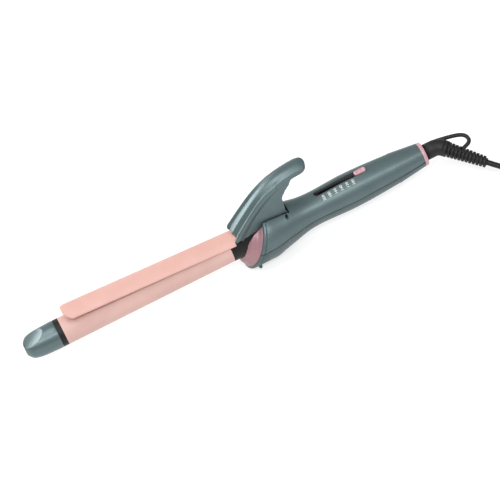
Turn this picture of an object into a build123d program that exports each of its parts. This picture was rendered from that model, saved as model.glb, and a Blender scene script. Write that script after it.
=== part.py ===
from build123d import *
from math import cos, pi, radians, sin, tan
import os

# A hair curling iron with a spring clip, a thumb lever, a sliding heat control and a swivel cord.
# Millimetres. +X runs from the tip to the cord, +Z is up, on the side of the clip and the lever.
# The origin is on the surface that the iron lies on, under the middle of its length.

os.makedirs("parts", exist_ok=True)

# ---- Lengths along the iron, from the tip ----
tip_cap_length = 27.7
tip_ring_width = 4.4
barrel_length = 141.3
bush_exposed = 10.7
collar_depth = 9.5
handle_length = 145.5
end_ring_width = 3.0
iron_length = (tip_cap_length + tip_ring_width + barrel_length + bush_exposed + collar_depth
               + handle_length + end_ring_width)

tip_x = -iron_length / 2
cap_back_x = tip_x + tip_cap_length
barrel_front_x = cap_back_x + tip_ring_width
barrel_back_x = barrel_front_x + barrel_length
collar_front_x = barrel_back_x + bush_exposed
mouth_x = collar_front_x + collar_depth
handle_back_x = mouth_x + handle_length
end_x = handle_back_x + end_ring_width

# ---- Clearances ----
fit_gap = 0.1        # between pieces that are pressed or glued together
running_gap = 0.35   # between pieces that move past each other
pin_gap = 0.06       # a pin in its hole

# ---- Barrel ----
barrel_r = 11.0
barrel_wall = 1.0
barrel_bore_r = barrel_r - barrel_wall
spigot_r = barrel_bore_r - fit_gap

# ---- Handle ----
handle_drop = 2.6          # the handle's centre line below the barrel's
handle_wall = 2.0
mouth_slant = 31.0         # degrees that the mouth leans back at the top
mouth_r = 20.9
mouth_edge_r = 1.3        # rounding of the mouth's outer edge
mouth_straight = 5.5       # how far the full radius runs behind the mouth's centre
shoulder = [(12.0, 20.75), (19.8, 18.9), (29.0, 16.8), (41.5, 14.0)]   # (behind the mouth, radius)
neck_at = 52.0
neck_r = 13.15
belly_at = 84.0
belly_r = 14.15
rear_at = 22.5             # ahead of the handle's end
rear_r = 12.3
end_r = 9.7
rear_slope = -0.12         # of the handle's side at its end
groove_depth = 0.35
groove_width = 0.45
lip_width = 2.2

# ---- Rest feet: the lowest points of the iron ----
foot_angle = 65.0          # degrees under the seam
foot_reach = 24.9          # from the handle's centre line
foot_r = 1.3
foot_root_r = 2.0
foot_taper = 8.0           # degrees
foot_at = -3.4             # behind the mouth's centre
axis_height = handle_drop + (foot_reach - foot_r) * sin(radians(foot_angle)) + foot_r
handle_z = axis_height - handle_drop

# ---- Lever and clip ----
pivot_at = 28.9            # behind the mouth's centre
pivot_height = 11.3        # above the barrel axis
pivot_x = mouth_x + pivot_at
pivot_z = axis_height + pivot_height
pin_r = 1.2
clip_gap = 0.35            # clip to barrel where it is nearest
clip_thickness = 0.8
clip_half_angle = 51.0
clip_corner_length = 10.5  # rounding of the clip's front corners, along the clip
clip_corner_width = 5.6    # and across it
clip_lift_angle = 3.68     # the clip stands off the barrel towards its tip
clip_tip_gap = 5.2         # from the clip's tip to the barrel's front end
clip_inner_r = barrel_r + clip_gap
clip_outer_r = clip_inner_r + clip_thickness


def across(x, z=axis_height):
    """A plane square to the barrel at x, centred at height z."""
    return Plane(origin=(x, 0, z), x_dir=(0, 1, 0), z_dir=(1, 0, 0))


def slanted(x):
    """A plane parallel to the handle's mouth that crosses the barrel axis at x."""
    lean = radians(mouth_slant)
    return Plane(origin=(x, 0, axis_height), x_dir=(0, 1, 0), z_dir=(cos(lean), 0, -sin(lean)))


def save(piece, name):
    """Label a finished piece and write it."""
    piece.part.label = name
    export_step(piece.part, f"parts/{name}.step")


barrel_axis = Axis((0, 0, axis_height), (1, 0, 0))
handle_axis = Axis((0, 0, handle_z), (1, 0, 0))

# ---- Tip cap: a domed cap with a dished facet on top and a spigot for the barrel ----
tip_flat_r = 5.2
tip_edge_r = 1.6
cap_back_r = barrel_r - 0.3
cap_side = [(11.4, 10.0), (3.8, 8.5)]     # (behind the tip, radius)
tip_spigot_length = 9.0
facet_front = 0.9          # behind the tip
facet_length = 17.2
facet_front_height = 5.2   # above the barrel axis
facet_back_height = 10.3
facet_dish_r = 65.0
facet_slope = (facet_back_height - facet_front_height) / facet_length
facet_middle = (tip_x + facet_front + facet_length / 2, 0,
                axis_height + (facet_front_height + facet_back_height) / 2)
facet_normal = Vector(-facet_slope, 0, 1).normalized()
facet_sag = (facet_length / 2) ** 2 / (2 * facet_dish_r)
dish_centre = Vector(*facet_middle) + facet_normal * (facet_dish_r - facet_sag)

with BuildPart() as tip_cap:
    with BuildSketch(Plane.XZ.shift_origin((0, 0, axis_height))) as cap_profile:
        with BuildLine():
            Spline((cap_back_x, cap_back_r), *[(tip_x + behind, r) for behind, r in cap_side],
                   (tip_x, tip_flat_r))
            Polyline((tip_x, tip_flat_r), (tip_x, 0), (cap_back_x, 0), (cap_back_x, cap_back_r))
        make_face()
    revolve(axis=barrel_axis)
    fillet(tip_cap.edges().filter_by(GeomType.CIRCLE).sort_by(Axis.X)[0], tip_edge_r)
    with BuildSketch(across(cap_back_x)):
        Circle(spigot_r)
    extrude(amount=tip_ring_width + tip_spigot_length)
    with Locations(dish_centre):
        Sphere(facet_dish_r, mode=Mode.SUBTRACT)
save(tip_cap, "tip_cap")

# ---- Tip ring: a heat-proof spacer between the cap and the barrel ----
with BuildPart() as tip_ring:
    with BuildSketch(across(cap_back_x)):
        Circle(barrel_r)
        Circle(barrel_bore_r, mode=Mode.SUBTRACT)
    extrude(amount=tip_ring_width)
save(tip_ring, "tip_ring")

# ---- Barrel: a thin aluminium tube that the hair is wound on ----
with BuildPart() as barrel_tube:
    with BuildSketch(across(barrel_front_x)):
        Circle(barrel_r)
        Circle(barrel_bore_r, mode=Mode.SUBTRACT)
    extrude(amount=barrel_length)
save(barrel_tube, "barrel_tube")

# ---- Heater: a flat ceramic element between two half-round aluminium spreaders ----
heater_set_back = 22.0     # behind the barrel's front end
heater_margin = 2.0        # that the spreaders reach past the heater at each end
heater_x = barrel_front_x + heater_set_back
heater_length = 92.0
heater_thickness = 2.2
heater_width = 9.0
spreader_half_gap = heater_thickness / 2 + fit_gap
heater_back_x = heater_x + heater_length

with BuildPart() as heat_spreader_upper:
    with BuildSketch(across(heater_x)):
        Circle(spigot_r)
        Rectangle(2 * barrel_r, 2 * barrel_r, align=(Align.CENTER, Align.MAX),
                  mode=Mode.SUBTRACT)
        Rectangle(2 * barrel_r, 2 * spreader_half_gap, mode=Mode.SUBTRACT)
    extrude(amount=heater_length)
save(heat_spreader_upper, "heat_spreader_upper")

with BuildPart() as heat_spreader_lower:
    add(heat_spreader_upper.part.mirror(Plane.XY.offset(axis_height)))
save(heat_spreader_lower, "heat_spreader_lower")

with BuildPart() as ceramic_heater:
    with BuildSketch(across(heater_x + heater_margin)):
        Rectangle(heater_width, heater_thickness)
    extrude(amount=heater_length - 2 * heater_margin)
save(ceramic_heater, "ceramic_heater")

# ---- Bush: the black sleeve that holds the barrel in the handle ----
bush_spigot_length = 12.0
bush_bore_r = 7.5
bush_tuck = 23.0           # how far it goes into the handle
bush_groove_depth = 0.9
bush_groove_at = 14.0      # behind the mouth's centre
bush_back_x = mouth_x + bush_tuck
bush_groove_r = barrel_r - bush_groove_depth
bush_groove_width = 2.4
bush_groove_x = mouth_x + bush_groove_at
rib_width = bush_groove_width - 2 * fit_gap

with BuildPart() as barrel_bush:
    with BuildSketch(across(barrel_back_x)):
        Circle(barrel_r)
    extrude(amount=bush_back_x - barrel_back_x)
    with BuildSketch(across(barrel_back_x)):
        Circle(spigot_r)
    extrude(amount=-bush_spigot_length)
    with BuildSketch(across(barrel_back_x - bush_spigot_length)):
        Circle(bush_bore_r)
    extrude(amount=bush_spigot_length + bush_back_x - barrel_back_x, mode=Mode.SUBTRACT)
    with BuildSketch(across(bush_groove_x - bush_groove_width / 2)):
        Circle(2 * barrel_r)
        Circle(bush_groove_r, mode=Mode.SUBTRACT)
    extrude(amount=bush_groove_width, mode=Mode.SUBTRACT)
save(barrel_bush, "barrel_bush")

# ---- Handle shells: one turned form, hollow, parted along its middle ----
handle_front_x = mouth_x - (mouth_r + handle_wall + handle_drop) * tan(radians(mouth_slant))


def handle_form(inset, front_x=handle_front_x, back_x=handle_back_x):
    """The handle as a turned solid, smaller all round by the inset."""
    x_back = min(back_x, handle_back_x)
    with BuildPart() as form:
        with BuildSketch(Plane.XZ.shift_origin((0, 0, handle_z))):
            with BuildLine():
                Line((front_x, 0), (front_x, mouth_r - inset))
                Line((front_x, mouth_r - inset), (mouth_x + mouth_straight, mouth_r - inset))
                Spline([(mouth_x + mouth_straight, mouth_r - inset)]
                       + [(mouth_x + along, r - inset) for along, r in shoulder]
                       + [(mouth_x + neck_at, neck_r - inset),
                          (mouth_x + belly_at, belly_r - inset),
                          (handle_back_x - rear_at, rear_r - inset),
                          (handle_back_x, end_r - inset)],
                       tangents=((1, 0), (1, rear_slope)))
                Polyline((handle_back_x, end_r - inset), (handle_back_x, 0), (front_x, 0))
            make_face()
        revolve(axis=handle_axis)
        if back_x < handle_back_x:
            split(bisect_by=across(x_back), keep=Keep.BOTTOM)
    return form.part


# The lever's opening in the top of the handle and the collar, seen from above.
lever_root_half = 10.1
lever_mouth_half = 8.3
lever_pivot_half = 6.4
lever_root_length = 5.0
lever_mouth_at = 13.0      # behind the mouth's centre, where the lever narrows to its mouth width
lever_overhang = 14.3      # ahead of the mouth's centre
opening_margin = 6.0       # that the opening's outline runs ahead of the lever
knuckle_room = 3.6
opening_floor = 5.0        # above the barrel axis
lever_front_x = mouth_x - lever_overhang
opening_back_x = pivot_x + knuckle_room
lever_plan = [(lever_front_x - opening_margin, lever_root_half),
              (lever_front_x + lever_root_length, lever_root_half),
              (mouth_x + lever_mouth_at, lever_mouth_half), (pivot_x, lever_pivot_half)]


def lever_outline(margin, back_x):
    """The lever seen from above, wider by the margin, as far back as back_x."""
    side = [(x, half + margin) for x, half in lever_plan]
    side.append((back_x, lever_pivot_half + margin))
    with BuildSketch() as outline:
        with BuildLine():
            Polyline(*side, *[(x, -half) for x, half in reversed(side)], close=True)
        make_face()
    return outline.sketch


slot_at = 56.0             # behind the mouth's centre
slot_front_x = mouth_x + slot_at
slot_length = 45.0
slot_width = 5.0
slot_x = slot_front_x + slot_length / 2
bezel_rim = 1.0
bezel_width = slot_width + 2 * bezel_rim
bezel_length = slot_length + 2 * bezel_rim
inner_end_wall = 2.0
journal_r = 5.5
flange_r = 7.4
flange_width = 2.0
spool_flange_x = handle_back_x - inner_end_wall - running_gap

with BuildPart() as handle_shell:
    add(handle_form(0))
    add(handle_form(handle_wall, back_x=handle_back_x - inner_end_wall), mode=Mode.SUBTRACT)
    split(bisect_by=slanted(mouth_x), keep=Keep.TOP)
    fillet(handle_shell.faces().filter_by(slanted(mouth_x)).sort_by(Axis.X)[0].outer_wire().edges(),
           mouth_edge_r)
    with BuildSketch(across(handle_back_x - inner_end_wall, handle_z)):
        Circle(journal_r + running_gap)
    extrude(amount=inner_end_wall, mode=Mode.SUBTRACT)

with BuildPart() as groove_zone:
    add(handle_form(-groove_width))
    add(handle_form(groove_depth), mode=Mode.SUBTRACT)

with BuildPart() as seam_groove:
    add(groove_zone.part)
    with Locations((0, 0, handle_z)):
        Box(2 * iron_length, 4 * mouth_r, groove_width, mode=Mode.INTERSECT)

with BuildPart() as lip_groove:
    with BuildSketch(slanted(mouth_x + lip_width)):
        Circle(3 * mouth_r)
    extrude(amount=groove_width)
    add(groove_zone.part, mode=Mode.INTERSECT)

# Screw places: a pair beside the bush, and two on the centre line.
screw_r = 1.2
screw_head_r = 2.0
screw_boss_r = 2.9
front_screw_at = 19.5      # behind the mouth's centre
middle_screw_at = 43.5
rear_screw_inset = 23.0    # ahead of the handle's end
screw_head_height = 1.6
screw_under_seam = 6.0     # from the seam down to the underside of the head
screw_over_seam = 5.0
screw_pilot_r = 1.3
screw_pilot_end = 1.0      # past the screw's tip
front_screw_y = barrel_r + screw_boss_r + running_gap
screw_places = [(mouth_x + front_screw_at, front_screw_y),
                (mouth_x + front_screw_at, -front_screw_y),
                (mouth_x + middle_screw_at, 0), (handle_back_x - rear_screw_inset, 0)]
screw_head_z = handle_z - screw_under_seam
screw_tip_z = handle_z + screw_over_seam
lower_boss_low = handle_z - mouth_r
upper_boss_high = handle_z + mouth_r

# Circuit board: sits on two posts of the lower shell.
board_at = 50.0            # behind the mouth's centre
board_rise = 1.5           # above the seam
post_inset = 6.0           # from the board's ends
post_y = 5.0
board_x = mouth_x + board_at
board_inset = 27.5         # ahead of the handle's end
board_length = handle_back_x - board_inset - board_x
board_width = 17.0
board_thickness = 1.6
board_z = handle_z + board_rise
post_r = 1.8
post_places = [(board_x + along, y) for along in (post_inset, board_length - post_inset)
               for y in (post_y, -post_y)]

with BuildPart() as bush_ribs:
    with BuildSketch(across(bush_groove_x - rib_width / 2)):
        Circle(mouth_r)
        Circle(bush_groove_r + fit_gap, mode=Mode.SUBTRACT)
    extrude(amount=rib_width)
    add(handle_form(handle_wall / 2), mode=Mode.INTERSECT)

with BuildPart() as flange_ribs:
    with BuildSketch(across(spool_flange_x - flange_width - running_gap, handle_z)):
        Circle(belly_r)
        Circle(journal_r + running_gap, mode=Mode.SUBTRACT)
    extrude(amount=-inner_end_wall)
    add(handle_form(handle_wall / 2), mode=Mode.INTERSECT)

with BuildPart() as lower_bosses:
    with BuildSketch(Plane.XY.offset(lower_boss_low)):
        with Locations(*screw_places):
            Circle(screw_boss_r)
    extrude(amount=handle_z - lower_boss_low)
    with BuildSketch(Plane.XY.offset(lower_boss_low)):
        with Locations(*post_places):
            Circle(post_r)
    extrude(amount=board_z - lower_boss_low)
    add(handle_form(handle_wall / 2), mode=Mode.INTERSECT)

with BuildPart() as upper_bosses:
    with BuildSketch(Plane.XY.offset(handle_z)):
        with Locations(*screw_places):
            Circle(screw_boss_r)
    extrude(amount=upper_boss_high - handle_z)
    add(handle_form(handle_wall / 2), mode=Mode.INTERSECT)

with BuildPart() as handle_lower:
    add(handle_shell.part)
    add(bush_ribs.part)
    add(flange_ribs.part)
    split(bisect_by=Plane.XY.offset(handle_z), keep=Keep.BOTTOM)
    add(lower_bosses.part)
    with BuildSketch(Plane.XY.offset(lower_boss_low)):
        with Locations(*screw_places):
            Circle(screw_r + fit_gap)
    extrude(amount=handle_z - lower_boss_low, mode=Mode.SUBTRACT)
    with BuildSketch(Plane.XY.offset(lower_boss_low)):
        with Locations(*screw_places):
            Circle(screw_head_r + fit_gap)
    extrude(amount=screw_head_z - lower_boss_low, mode=Mode.SUBTRACT)
    for side in (1, -1):
        lean = radians(foot_angle)
        foot_plane = Plane(origin=(mouth_x + foot_at, 0, handle_z), x_dir=(1, 0, 0),
                           z_dir=(0, side * cos(lean), -sin(lean)))
        with BuildSketch(foot_plane.offset(mouth_r - handle_wall / 2)):
            Circle(foot_root_r)
        extrude(amount=foot_reach - foot_r - mouth_r + handle_wall / 2, taper=foot_taper)
        with Locations(foot_plane.offset(foot_reach - foot_r).origin):
            Sphere(foot_r)
    add(seam_groove.part, mode=Mode.SUBTRACT)
    add(lip_groove.part, mode=Mode.SUBTRACT)
save(handle_lower, "handle_lower")

with BuildPart() as handle_upper:
    add(handle_shell.part)
    add(bush_ribs.part)
    add(flange_ribs.part)
    split(bisect_by=Plane.XY.offset(handle_z), keep=Keep.TOP)
    add(upper_bosses.part)
    with BuildSketch(Plane.XY.offset(handle_z)):
        with Locations(*screw_places):
            Circle(screw_pilot_r)
    extrude(amount=screw_tip_z + screw_pilot_end - handle_z, mode=Mode.SUBTRACT)
    with BuildSketch(Plane.XY.offset(axis_height + opening_floor)):
        add(lever_outline(running_gap, opening_back_x))
    extrude(amount=mouth_r, mode=Mode.SUBTRACT)
    with BuildSketch(Plane.XY.offset(handle_z)):
        with Locations((slot_x, 0)):
            SlotOverall(bezel_length, bezel_width)
    extrude(amount=mouth_r, mode=Mode.SUBTRACT)
    with BuildSketch(Plane.XZ):
        with Locations((pivot_x, pivot_z)):
            Circle(pin_r + pin_gap)
    extrude(amount=mouth_r, both=True, mode=Mode.SUBTRACT)
    add(seam_groove.part, mode=Mode.SUBTRACT)
    add(lip_groove.part, mode=Mode.SUBTRACT)
save(handle_upper, "handle_upper")

recess_length = 2.6
recess_width = 0.6
recess_depth = 0.8
with BuildPart() as shell_screws:
    with BuildSketch(Plane.XY.offset(screw_head_z)):
        with Locations(*screw_places):
            Circle(screw_r)
    extrude(amount=screw_tip_z - screw_head_z)
    with BuildSketch(Plane.XY.offset(screw_head_z)):
        with Locations(*screw_places):
            Circle(screw_head_r)
    extrude(amount=-screw_head_height)
    with BuildSketch(Plane.XY.offset(screw_head_z - screw_head_height)):
        with Locations(*screw_places):
            Rectangle(recess_length, recess_width)
            Rectangle(recess_width, recess_length)
    extrude(amount=recess_depth, mode=Mode.SUBTRACT)
save(shell_screws, "shell_screws")

# ---- Collar: the pink rounded nose between the bush and the handle's mouth ----
collar_wall = 1.6
collar_edge = 0.15         # thickness of the nose's front edge
collar_front_r = barrel_r + fit_gap + collar_edge
collar_r = mouth_r - handle_wall - fit_gap
collar_tuck = 3.0          # how far it goes into the handle
collar_inset_share = 0.4   # of its wall, that its inside is narrower: it is also moved back
# (behind the front edge, radius, drop of the centre) of each slanted ring of the nose
collar_rings = [(0, collar_front_r, 0), (2.3, 13.7, 0.6), (5.4, 16.5, 1.5),
                (collar_depth, collar_r, handle_drop),
                (collar_depth + collar_tuck, collar_r, handle_drop)]


def collar_form(shift, inset):
    """The nose as a solid, moved back by shift and smaller by the inset."""
    with BuildPart() as form:
        for behind, r, drop in collar_rings:
            lean = cos(radians(mouth_slant))
            plane = slanted(collar_front_x + behind + shift)
            with BuildSketch(plane.shift_origin(plane.from_local_coords((0, -drop / lean)))):
                Ellipse(r - inset, (r - inset) / lean)
        loft()
    return form.part


with BuildPart() as front_collar:
    add(collar_form(0, 0))
    add(collar_form(collar_wall, collar_inset_share * collar_wall), mode=Mode.SUBTRACT)
    with BuildSketch(slanted(mouth_x + collar_tuck - collar_wall)):
        with Locations((0, -handle_drop)):
            Ellipse(collar_r - collar_wall, (collar_r - collar_wall) / cos(radians(mouth_slant)))
    extrude(amount=2 * collar_wall, mode=Mode.SUBTRACT)
    with BuildSketch(across(barrel_back_x)):
        Circle(barrel_r + fit_gap)
    extrude(amount=mouth_x + 2 * mouth_r - barrel_back_x, mode=Mode.SUBTRACT)
    with BuildSketch(Plane.XY.offset(axis_height)):
        add(lever_outline(running_gap, opening_back_x))
    extrude(amount=mouth_r, mode=Mode.SUBTRACT)
    add(handle_shell.part, mode=Mode.SUBTRACT)
save(front_collar, "front_collar")

# ---- Lever: a curved thumb pad on two cheeks, hinged in the handle ----
# Stations along the top of the pad: (x and z from the pivot, slope in degrees, half width, height)
pad_stations = [((-43.4, 3.6), 42, 10.0, 9.0), ((-32.8, 13.6), 40.5, 9.2, 7.6),
                ((-21.6, 22.9), 37.0, 8.4, 7.2), ((-7.4, 32.1), 29.0, 7.8, 7.0),
                ((4.0, 36.6), 17.0, 7.5, 6.9), ((15.0, 38.7), 6.5, 7.3, 6.9),
                ((30.0, 39.4), -1.0, 7.2, 6.9)]
pad_reach = 28.3           # behind the pivot
pad_tip_x = pivot_x + pad_reach
pad_tip_half = 7.25
crown_share = 0.72         # of the half width that the crowned middle takes
cheek_wall = 1.9
saddle_gap = 0.15          # lever to clip
saddle_r = clip_outer_r + saddle_gap
rivet_r = 1.5
rivet_places = [mouth_x - 6.0, mouth_x + 4.0]
rivet_depth = 2.6          # that the rivets go into the lever
rivet_top_z = axis_height + clip_outer_r + rivet_depth
cheek_front_height = 9.8   # above the barrel axis
cheek_front_z = axis_height + cheek_front_height
knuckle_r = 3.0
# The cheeks seen from the side, from the pivot: their back edge and where it runs into the pad
cheek_back = [(knuckle_r, 0.0), (1.7, 3.2), (1.9, 15.0), (4.0, 20.0), (7.6, 24.4), (12.0, 27.6),
              (17.5, 30.4)]
cheek_back_slope = 0.45
# where they go into the pad, from its back to its front
cheek_top = [(5.0, 32.0), (-7.0, 28.0), (-21.0, 19.0), (-32.4, 10.0), (-42.0, 1.5)]
cheek_front = -43.0
cheek_heel = -5.0
# The room between the cheeks, seen from the side in the same way
hollow_side = [(-30.0, -8.0), (4.0, -8.0), (4.0, 4.5), (0.0, 8.0), (0.3, 15.0), (-2.0, 24.0),
               (-14.0, 18.0), (-25.0, 10.0), (-30.0, 3.0)]
saddle_back = 5.5          # ahead of the pivot, where the cut for the clip ends
# Shares of a pad section's half width
crown_drop = 0.16
edge_drop = 0.30
flute_share = 0.12         # of the crown's drop
edge_bulge = 0.35          # mm


def pad_section(half, height):
    """One section of the pad: crowned middle, shallow flutes, rounded edges, flat underside."""
    crown = crown_drop * half
    edge = edge_drop * half
    inner = crown_share * half
    flute = (crown + edge) / 2 + flute_share * crown
    with BuildSketch() as section:
        with BuildLine():
            ThreePointArc((-inner, -crown), (0, 0), (inner, -crown))
            ThreePointArc((inner, -crown), ((inner + half) / 2, -flute), (half, -edge))
            ThreePointArc((half, -edge), (half + edge_bulge, -(edge + height) / 2),
                          (half, -height))
            Line((half, -height), (-half, -height))
            ThreePointArc((-half, -height), (-half - edge_bulge, -(edge + height) / 2),
                          (-half, -edge))
            ThreePointArc((-half, -edge), (-(inner + half) / 2, -flute), (-inner, -crown))
        make_face()
    return section.sketch


with BuildPart() as lever_pad:
    for (along, up), slope, half, height in pad_stations:
        tilt = radians(slope)
        with BuildSketch(Plane(origin=(pivot_x + along, 0, pivot_z + up), x_dir=(0, 1, 0),
                               z_dir=(cos(tilt), 0, sin(tilt)))):
            add(pad_section(half, height))
    loft()
    with BuildSketch(Plane.XY):
        with Locations((pad_tip_x - iron_length / 2, 0)):
            SlotOverall(iron_length, 2 * pad_tip_half)
        with Locations((pivot_x, 0)):
            Rectangle(iron_length, 3 * lever_root_half, align=(Align.MAX, Align.CENTER))
    extrude(amount=axis_height + 3 * mouth_r, mode=Mode.INTERSECT)

with BuildPart() as lever_cheeks:
    with BuildSketch(Plane.XZ.shift_origin((pivot_x, 0, pivot_z))):
        with BuildLine():
            Polyline((cheek_front, cheek_front_z - pivot_z),
                     (cheek_heel, cheek_front_z - pivot_z), (-knuckle_r, 0))
            ThreePointArc((-knuckle_r, 0), (0, -knuckle_r), (knuckle_r, 0))
            Polyline(cheek_back[0], cheek_back[1], cheek_back[2])
            Spline(*cheek_back[2:], tangents=((0, 1), (1, cheek_back_slope)))
            Polyline(cheek_back[-1], *cheek_top, (cheek_front, cheek_front_z - pivot_z))
        make_face()
    extrude(amount=lever_root_half, both=True)
    with BuildSketch(Plane.XY.offset(handle_z)):
        add(lever_outline(0, pad_tip_x))
    extrude(amount=3 * mouth_r, mode=Mode.INTERSECT)

with BuildPart() as lever_hollow:
    with BuildSketch(Plane.XZ.shift_origin((pivot_x, 0, pivot_z))):
        with BuildLine():
            Polyline(*hollow_side, close=True)
        make_face()
    extrude(amount=lever_root_half, both=True)
    with BuildSketch(Plane.XY.offset(handle_z)):
        add(lever_outline(-cheek_wall, pad_tip_x))
    extrude(amount=3 * mouth_r, mode=Mode.INTERSECT)

with BuildPart() as thumb_lever:
    add(lever_pad.part)
    add(lever_cheeks.part)
    add(lever_hollow.part, mode=Mode.SUBTRACT)
    with BuildSketch(across(barrel_back_x)):
        Circle(saddle_r)
    extrude(amount=pivot_x - saddle_back - barrel_back_x, mode=Mode.SUBTRACT)
    with BuildSketch(Plane.XZ.shift_origin((pivot_x, 0, pivot_z))):
        Circle(pin_r + pin_gap)
    extrude(amount=lever_root_half, both=True, mode=Mode.SUBTRACT)
    with BuildSketch(Plane.XY.offset(axis_height)):
        with Locations(*[(x, 0) for x in rivet_places]):
            Circle(rivet_r + pin_gap)
    extrude(amount=rivet_top_z + fit_gap - axis_height, mode=Mode.SUBTRACT)
save(thumb_lever, "thumb_lever")

# ---- Clip: a curved sheet along the barrel, with a narrower tongue under the lever ----
clip_front_x = barrel_front_x + clip_tip_gap
bend_ahead = 1.0           # ahead of the lever's front edge
clip_bend_x = lever_front_x - bend_ahead
tongue_tuck = 9.0          # behind the mouth's centre
tongue_back_x = mouth_x + tongue_tuck
tongue_half_angle = 36.0
lift = radians(clip_lift_angle)
sheet_plane = Plane(origin=(clip_bend_x, 0, axis_height), x_dir=(0, -1, 0),
                    z_dir=(-cos(lift), 0, sin(lift)))
bend_plane = Plane(origin=(clip_bend_x, 0, axis_height), x_dir=(0, -1, 0),
                   z_dir=(-cos(lift / 2), 0, sin(lift / 2)))
bend_overlap = 3.0         # each sheet is made past the bend and cut there
clip_length = (clip_bend_x - clip_front_x) / cos(lift)


def sheet_arc(half_angle):
    """The clip's cross-section: a thin arc over the barrel."""
    turn = radians(half_angle)
    with BuildSketch() as arc:
        Circle(clip_outer_r)
        Circle(clip_inner_r, mode=Mode.SUBTRACT)
        with BuildLine():
            Polyline((0, 0), (3 * barrel_r * sin(turn), 3 * barrel_r * cos(turn)),
                     (0, 3 * barrel_r / cos(turn)),
                     (-3 * barrel_r * sin(turn), 3 * barrel_r * cos(turn)), close=True)
        make_face(mode=Mode.INTERSECT)
    return arc.sketch


clip_half_width = clip_outer_r * sin(radians(clip_half_angle))
clip_flat_half = clip_half_width - clip_corner_width
# The corner's arc passes through these shares of its width and length.
corner_mid_width = 0.62
corner_mid_length = 0.26
clip_mid_half = clip_flat_half + corner_mid_width * clip_corner_width
clip_mid_x = clip_front_x + corner_mid_length * clip_corner_length
clip_corner_x = clip_front_x + clip_corner_length

with BuildPart() as clip_sheet:
    with BuildSketch(sheet_plane.offset(-bend_overlap)):
        add(sheet_arc(clip_half_angle))
    extrude(amount=clip_length + 2 * bend_overlap)
    split(bisect_by=bend_plane, keep=Keep.TOP)
    with BuildSketch(Plane.XY.offset(axis_height)):
        with BuildLine():
            ThreePointArc((clip_corner_x, clip_half_width), (clip_mid_x, clip_mid_half),
                          (clip_front_x, clip_flat_half))
            Line((clip_front_x, clip_flat_half), (clip_front_x, -clip_flat_half))
            ThreePointArc((clip_front_x, -clip_flat_half), (clip_mid_x, -clip_mid_half),
                          (clip_corner_x, -clip_half_width))
            Polyline((clip_corner_x, -clip_half_width), (clip_corner_x, -barrel_r * 2),
                     (mouth_x, -barrel_r * 2), (mouth_x, barrel_r * 2),
                     (clip_corner_x, barrel_r * 2), (clip_corner_x, clip_half_width))
        make_face()
    extrude(amount=3 * barrel_r, mode=Mode.INTERSECT)

with BuildPart() as clip_tongue:
    with BuildSketch(across(clip_bend_x - bend_overlap)):
        add(sheet_arc(tongue_half_angle))
    extrude(amount=tongue_back_x - clip_bend_x + bend_overlap)
    split(bisect_by=bend_plane, keep=Keep.BOTTOM)

with BuildPart() as clip_spoon:
    add(clip_sheet.part)
    add(clip_tongue.part)
    with BuildSketch(Plane.XY.offset(axis_height)):
        with Locations(*[(x, 0) for x in rivet_places]):
            Circle(rivet_r + pin_gap)
    extrude(amount=mouth_r, mode=Mode.SUBTRACT)
save(clip_spoon, "clip_spoon")

rivet_stand = 0.1          # of the rivets' heads inside the clip
with BuildPart() as clip_rivets:
    with BuildSketch(Plane.XY.offset(axis_height + clip_inner_r - rivet_stand)):
        with Locations(*[(x, 0) for x in rivet_places]):
            Circle(rivet_r)
    extrude(amount=rivet_top_z - axis_height - clip_inner_r + rivet_stand)
save(clip_rivets, "clip_rivets")

# ---- Hinge pin and torsion spring ----
pin_half_length = 8.2
with BuildPart() as hinge_pin:
    with BuildSketch(Plane.XZ.shift_origin((pivot_x, 0, pivot_z))):
        Circle(pin_r)
    extrude(amount=pin_half_length, both=True)
save(hinge_pin, "hinge_pin")

# ---- End ring: pink trim around the cord's swivel ----
ring_hole_r = journal_r + running_gap
end_ring_edge_r = 1.1
with BuildPart() as end_ring:
    with BuildSketch(across(handle_back_x, handle_z)):
        Circle(end_r)
        Circle(ring_hole_r, mode=Mode.SUBTRACT)
    extrude(amount=end_ring_width)
    fillet(end_ring.edges().filter_by(GeomType.CIRCLE).group_by(Axis.X)[-1].sort_by(
        lambda edge: edge.radius)[-1], end_ring_edge_r)
save(end_ring, "end_ring")

# ---- Torsion spring: coiled on the hinge pin, one leg up in the lever, one behind the bush ----
spring_wire_r = 0.45
spring_coil_r = pin_r + pin_gap + running_gap + spring_wire_r
spring_turns = 4
spring_turn_gap = 0.15
spring_pitch = 2 * spring_wire_r + spring_turn_gap
spring_half = spring_turns * spring_pitch / 2
leg_up = (9.5, 19.2)       # ahead of the pin and above it
leg_down = (5.3, -3.4)

# Made around its own axis: x ahead of the pin, y up, z along the pin.
with BuildPart(mode=Mode.PRIVATE) as spring_form:
    with BuildLine() as coil_path:
        Helix(spring_pitch, spring_turns * spring_pitch, spring_coil_r)
    with BuildSketch(Plane(origin=coil_path.line @ 0, z_dir=coil_path.line % 0)):
        Circle(spring_wire_r)
    sweep(path=coil_path.line, is_frenet=True)
    for end, (ahead, up) in ((0, leg_down), (1, leg_up)):
        start = coil_path.line @ end
        leg = Vector(ahead, up, start.Z) - start
        with BuildSketch(Plane(origin=start, z_dir=leg)):
            Circle(spring_wire_r)
        extrude(amount=leg.length)

with BuildPart() as clip_spring:
    add(Plane(origin=(pivot_x, -spring_half, pivot_z), x_dir=(-1, 0, 0), z_dir=(0, 1, 0))
        * spring_form.part)
save(clip_spring, "clip_spring")

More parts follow.
